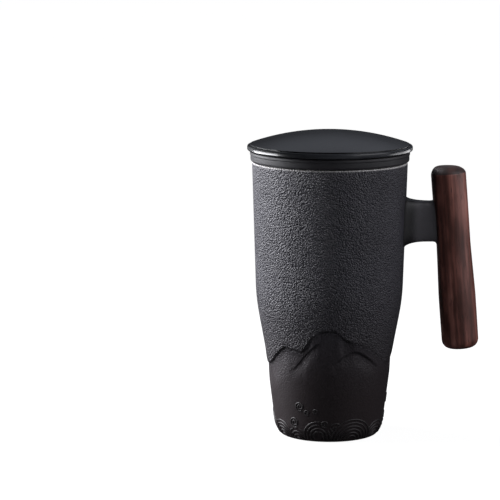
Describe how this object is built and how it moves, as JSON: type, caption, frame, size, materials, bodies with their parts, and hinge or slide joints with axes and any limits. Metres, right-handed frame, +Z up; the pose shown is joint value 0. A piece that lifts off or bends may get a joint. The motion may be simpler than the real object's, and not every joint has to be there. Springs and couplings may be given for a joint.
{
  "type": "lidded tea mug with infuser",
  "caption": "Tall tapered stoneware tea mug with a lift-out strainer basket, a domed lift-off lid and a round wooden side grip.",
  "frame": {"origin": "centre of the foot ring, on the surface that the mug stands on", "axes": "+Z up along the mug's axis, +X towards the wooden grip, -Y towards the relief that the picture shows"},
  "size_m": [0.1215, 0.086, 0.1599],
  "materials": {
    "mug_stoneware": "matte pebbled black glaze",
    "infuser_stoneware": "matte black glaze",
    "lid_stoneware": "smooth satin black glaze",
    "dark_wood": "oiled dark wood",
    "epoxy": "cured adhesive"
  },
  "bodies": {
    "mug": {"mug_body": "mug_stoneware", "wooden_grip": "dark_wood", "grip_adhesive": "epoxy"},
    "infuser": {"infuser_basket": "infuser_stoneware"},
    "lid": {"domed_lid": "lid_stoneware"}
  },
  "joints": [
    {"name": "infuser_lift", "type": "slide", "parent": "mug", "child": "infuser", "axis": [0, 0, 1], "range_m": [0, 0.09]},
    {"name": "lid_lift", "type": "slide", "parent": "infuser", "child": "lid", "axis": [0, 0, 1], "range_m": [0, 0.05]}
  ]
}
